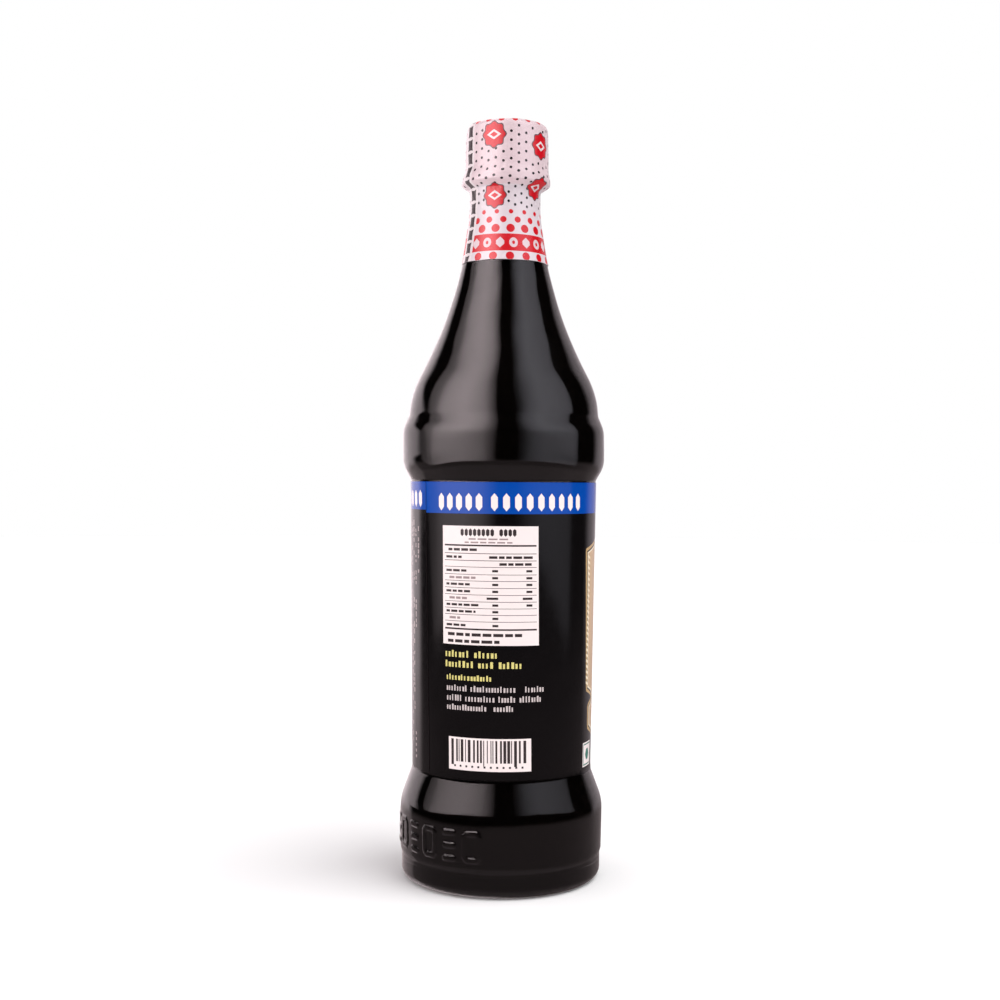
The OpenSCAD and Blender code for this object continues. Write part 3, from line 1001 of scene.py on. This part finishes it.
# weld the two side edges
key = {}
remap = np.arange(len(p))
for i in np.where(np.abs(np.abs(v2d[:, 0]) - 180 * FX) < 1e-3)[0]:
    k = round(float(v2d[i, 1]), 3)
    side = v2d[i, 0] > 0
    key.setdefault(k, {})[side] = i
for k, pair in key.items():
    if len(pair) == 2:
        remap[pair[True]] = pair[False]
print("film seam", len(key), "rows,", sum(len(x) == 2 for x in key.values()), "welded")
tri0 = tris.copy()
tris = remap[tris]
a, b, c = p[tris[:, 0]], p[tris[:, 1]], p[tris[:, 2]]
bad = (np.cross(b - a, c - a) * nrm[tris[:, 0]]).sum(1) < 0
tris[bad] = tris[bad][:, ::-1]
used, tris = np.unique(tris, return_inverse=True)
tris = tris.reshape(-1, 3)
thick = 0.24 * np.ones(len(used))
sv, sf, sl, sm = shell(p[used], nrm[used], tris, thick, tmat, F_STRIP, F_STRIP)
film_kw = dict(rough_span=0.05, scale=350, bump=0.02, bump_scale=420)
film_mats = [
    material("film_pink", (0.665, 0.53, 0.56), 0.24, **film_kw),
    material("film_cool", (0.655, 0.585, 0.62), 0.24, **film_kw),
    material("film_black", (0.012, 0.010, 0.012), 0.26, **film_kw),
    material("film_red", (0.56, 0.004, 0.012), 0.24, **film_kw),
    material("film_strip", (0.72, 0.64, 0.655), 0.26, **film_kw),
    material("film_grey", (0.10, 0.045, 0.055), 0.26, **film_kw),
    material("film_dash", (0.060, 0.046, 0.050), 0.26, **film_kw),
]
film = add_mesh("film_capsule", sv, sf, sl, film_mats, sm)
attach(film, "root")
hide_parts("sleeve")

# ------------------------------------------------------------------ floor
bpy.ops.mesh.primitive_circle_add(vertices=96, radius=3.2, fill_type="NGON", location=(0, 0, -0.0002))
floor = bpy.context.object
floor.name = "floor"
m_floor = material("floor", (0.90, 0.90, 0.90), 0.9, 0.05, 20, 0.0, second=(0.905, 0.905, 0.905),
                   second_scale=3, Specular_IOR_Level=0.0)
floor.data.materials.append(m_floor)
floor.visible_glossy = False
floor.visible_transmission = False


# ------------------------------------------------------------------ studio
def softbox(name, az0, az1, z0, z1, radius, colour, power, across, upward):
    """A curved light wall round the object that only shows as a reflection."""
    na, nzz = 60, 16
    az = np.radians(np.linspace(az0, az1, na + 1))
    zz = np.linspace(z0, z1, nzz + 1)
    verts = [tuple(xyz(a, radius, z)) for z in zz for a in az]
    faces = [(j * (na + 1) + i, j * (na + 1) + i + 1, (j + 1) * (na + 1) + i + 1, (j + 1) * (na + 1) + i)
             for j in range(nzz) for i in range(na)]
    mesh = bpy.data.meshes.new(name)
    mesh.from_pydata([tuple(c * MM for c in v) for v in verts], [], faces)
    mesh.update()
    m = bpy.data.materials.new(name)
    m.use_nodes = True
    t = m.node_tree
    t.nodes.clear()
    out = t.nodes.new("ShaderNodeOutputMaterial")
    em = t.nodes.new("ShaderNodeEmission")
    em.inputs["Color"].default_value = (*colour, 1)
    co = t.nodes.new("ShaderNodeTexCoord")
    sep = t.nodes.new("ShaderNodeSeparateXYZ")
    t.links.new(co.outputs["Object"], sep.inputs[0])
    neg = t.nodes.new("ShaderNodeMath")
    neg.operation = "MULTIPLY"
    neg.inputs[1].default_value = -1
    t.links.new(sep.outputs["Y"], neg.inputs[0])
    at = t.nodes.new("ShaderNodeMath")
    at.operation = "ARCTAN2"
    t.links.new(sep.outputs["X"], at.inputs[0])
    t.links.new(neg.outputs[0], at.inputs[1])

    def ramp(src, lo, hi, a=0.0, b=1.0):
        mr = t.nodes.new("ShaderNodeMapRange")
        mr.interpolation_type = "SMOOTHERSTEP"
        for k, v in (("From Min", lo), ("From Max", hi), ("To Min", a), ("To Max", b)):
            mr.inputs[k].default_value = v
        t.links.new(src, mr.inputs["Value"])
        return mr.outputs["Result"]

    def times(x, y):
        mu = t.nodes.new("ShaderNodeMath")
        mu.operation = "MULTIPLY"
        t.links.new(x, mu.inputs[0])
        if isinstance(y, (int, float)):
            mu.inputs[1].default_value = y
        else:
            t.links.new(y, mu.inputs[1])
        return mu.outputs[0]
    def curve(src, lo, hi, stops):
        nd = t.nodes.new("ShaderNodeValToRGB")
        nd.color_ramp.interpolation = "LINEAR"
        el = nd.color_ramp.elements
        while len(el) < len(stops):
            el.new(0.5)
        top_v = max(v for _, v in stops)
        for k, (x, v) in enumerate(sorted(stops)):
            el[k].position = (x - lo) / (hi - lo)
            el[k].color = (v / top_v, v / top_v, v / top_v, 1)
        mr = t.nodes.new("ShaderNodeMapRange")
        mr.inputs["From Min"].default_value, mr.inputs["From Max"].default_value = lo * unit_of[src], hi * unit_of[src]
        t.links.new(outs[src], mr.inputs["Value"])
        t.links.new(mr.outputs["Result"], nd.inputs["Fac"])
        return times(nd.outputs["Color"], float(top_v))
    ab = t.nodes.new("ShaderNodeMath")
    ab.operation = "ABSOLUTE"
    t.links.new(at.outputs[0], ab.inputs[0])
    outs, unit_of = {"az": ab.outputs[0]}, {"az": math.radians(1), "z": MM}
    drop = times(curve("az", 0, 130, [(40, 40), (82, 84), (90, 84), (99, 12), (120, 0)]), MM)
    z_eff = t.nodes.new("ShaderNodeMath")
    z_eff.operation = "ADD"
    t.links.new(sep.outputs["Z"], z_eff.inputs[0])
    t.links.new(drop, z_eff.inputs[1])
    outs["z"] = z_eff.outputs[0]
    f_az = curve("az", 0, 130, across)
    f_z = curve("z", 100, 1040, [(z + 40, v) for z, v in upward])
    t.links.new(times(times(f_az, f_z), power), em.inputs["Strength"])
    clear = t.nodes.new("ShaderNodeBsdfTransparent")
    both = t.nodes.new("ShaderNodeAddShader")
    t.links.new(em.outputs[0], both.inputs[0])
    t.links.new(clear.outputs[0], both.inputs[1])
    t.links.new(both.outputs[0], out.inputs["Surface"])
    mesh.materials.append(m)
    o = bpy.data.objects.new(name, mesh)
    bpy.context.scene.collection.objects.link(o)
    o.visible_camera = o.visible_diffuse = o.visible_shadow = o.visible_volume_scatter = False
    o.visible_transmission = False
    return o


UPWARD = [(98, 0.0), (108, 0.42), (130, 0.5), (160, 0.5), (186, 0.54), (218, 0.8), (250, 1.0), (300, 1.0), (500, 0.93),
          (950, 0.76)]
softbox("softbox_left", -104, -6, 58, 950, 290, (1.0, 0.86, 0.885), 1.0,
        [(7, 0.0), (12, 1.1), (18, 2.5), (24, 4.1), (34, 5.2), (46, 6.1), (60, 5.5), (72, 4.5), (80, 3.3), (86, 1.7), (92, 1.1),
         (98, 0.8), (102.5, 0.0)], UPWARD)
softbox("softbox_right", 12, 91, 58, 950, 290, (0.93, 0.90, 1.0), 1.0,
        [(13, 0.0), (19, 0.3), (25, 0.85), (31, 1.35), (44, 1.9), (64, 1.6), (80, 1.2), (85, 0.9), (88.5, 0.0)], UPWARD)

world = bpy.data.worlds.new("studio")
bpy.context.scene.world = world
world.use_nodes = True
wt = world.node_tree
wt.nodes.clear()
w_out = wt.nodes.new("ShaderNodeOutputWorld")
path = wt.nodes.new("ShaderNodeLightPath")
coord = wt.nodes.new("ShaderNodeTexCoord")
sep = wt.nodes.new("ShaderNodeSeparateXYZ")
wt.links.new(coord.outputs["Generated"], sep.inputs[0])


def wmath(op, a, b=None):
    nd = wt.nodes.new("ShaderNodeMath")
    nd.operation = op
    for i, x in enumerate((a, b)):
        if x is None:
            continue
        if isinstance(x, (int, float)):
            nd.inputs[i].default_value = x
        else:
            wt.links.new(x, nd.inputs[i])
    return nd.outputs[0]


def wramp(src, lo, hi, a=0.0, b=1.0):
    mr = wt.nodes.new("ShaderNodeMapRange")
    mr.interpolation_type = "SMOOTHSTEP"
    for k, v in (("From Min", lo), ("From Max", hi), ("To Min", a), ("To Max", b)):
        mr.inputs[k].default_value = v
    wt.links.new(src, mr.inputs["Value"])
    return mr.outputs["Result"]


def wmix(f, a, b):
    nd = wt.nodes.new("ShaderNodeMix")
    nd.data_type = "RGBA"
    wt.links.new(f, nd.inputs["Factor"])
    for sock, x in ((nd.inputs[6], a), (nd.inputs[7], b)):
        if isinstance(x, tuple):
            sock.default_value = (*x, 1)
        else:
            wt.links.new(x, sock)
    return nd.outputs[2]


azim = wmath("ARCTAN2", sep.outputs["X"], wmath("MULTIPLY", sep.outputs["Y"], -1.0))
slant = wmath("ADD", wramp(sep.outputs["Z"], 0.10, 0.36, 0.0, math.radians(23)),
              wramp(sep.outputs["Z"], -0.03, 0.0, math.radians(13), 0.0))
left_edge = wramp(wmath("ADD", azim, slant), math.radians(-119), math.radians(-103), 1.0, 0.0)
right_edge = wramp(azim, math.radians(120), math.radians(136), 0.0, 1.0)
low = wramp(sep.outputs["Z"], -0.25, -0.07, 1.0, 0.0)
low_edge = wmath("MAXIMUM", wramp(azim, math.radians(-126), math.radians(-118), 1.0, 0.0), right_edge)
deep = wramp(sep.outputs["Z"], -0.60, -0.40, 1.0, 0.0)
behind = wmath("MAXIMUM", left_edge, right_edge)
side = wramp(sep.outputs["X"], -0.1, 0.1)
back_high = wmix(side, (1.55, 1.35, 1.40), (0.62, 0.54, 0.57))
back_low = wmix(side, (0.62, 0.52, 0.53), (0.30, 0.25, 0.255))
back_low = wmix(deep, back_low, wmix(side, (1.0, 0.86, 0.88), (0.24, 0.20, 0.20)))
front_low = wmix(deep, (0.26, 0.21, 0.215), (0.42, 0.345, 0.355))
gloss = wmix(behind, (0.006, 0.005, 0.005), back_high)
gloss = wmix(low, gloss, wmix(low_edge, front_low, back_low))
top_dim = wramp(sep.outputs["Z"], 0.25, 0.75)
across = wramp(sep.outputs["X"], -0.9, 0.9)
diff = wmix(top_dim, wmix(across, (1.85, 1.68, 1.71), (0.10, 0.095, 0.105)), (0.74, 0.72, 0.73))
col = wmix(path.outputs["Is Glossy Ray"], diff, gloss)
col = wmix(path.outputs["Is Transmission Ray"], col, (0.03, 0.026, 0.027))
col = wmix(path.outputs["Is Camera Ray"], col, (1.0, 1.0, 1.0))
bg = wt.nodes.new("ShaderNodeBackground")
wt.links.new(col, bg.inputs["Color"])
wt.links.new(bg.outputs[0], w_out.inputs["Surface"])


def sun(name, az, el, angle, power, colour=(1, 1, 1)):
    data = bpy.data.lights.new(name, "SUN")
    data.angle = angle
    data.energy = power
    data.color = colour
    o = bpy.data.objects.new(name, data)
    bpy.context.scene.collection.objects.link(o)
    a, e = math.radians(az), math.radians(el)
    toward = Vector((-math.sin(a) * math.cos(e), math.cos(a) * math.cos(e), -math.sin(e)))
    o.location = tuple(-toward * 1.5)
    o.rotation_mode = "QUATERNION"
    o.rotation_quaternion = toward.to_track_quat("-Z", "Y")
    o.visible_glossy = False
    return o


sun("key", 70, 55, 1.0, 2.15)

# ------------------------------------------------------------------ camera
cam_data = bpy.data.cameras.new("camera")
cam = bpy.data.objects.new("camera", cam_data)
bpy.context.scene.collection.objects.link(cam)
cam_data.sensor_width = 36
cam_data.sensor_fit = "HORIZONTAL"
cam_data.lens = 1380 * 36 / 1000
cam_data.shift_x = -0.00335
cam_data.shift_y = -0.019
cam_data.dof.use_dof = False
roll = 0.00733
cam.rotation_mode = "QUATERNION"
right, upv, back_v = (math.cos(roll), 0, math.sin(roll)), (-math.sin(roll), 0, math.cos(roll)), (0, -1, 0)
rot = Matrix((right, upv, back_v)).transposed()
cam.rotation_quaternion = rot.to_quaternion()
cam.location = (0, -0.54165 * K, 0.1531 * K)
cam_data.clip_start, cam_data.clip_end = 0.01, 20
bpy.context.scene.camera = cam
bpy.context.scene.view_settings.view_transform = "Standard"
bpy.context.scene.view_settings.look = "None"

bpy.context.view_layer.update()
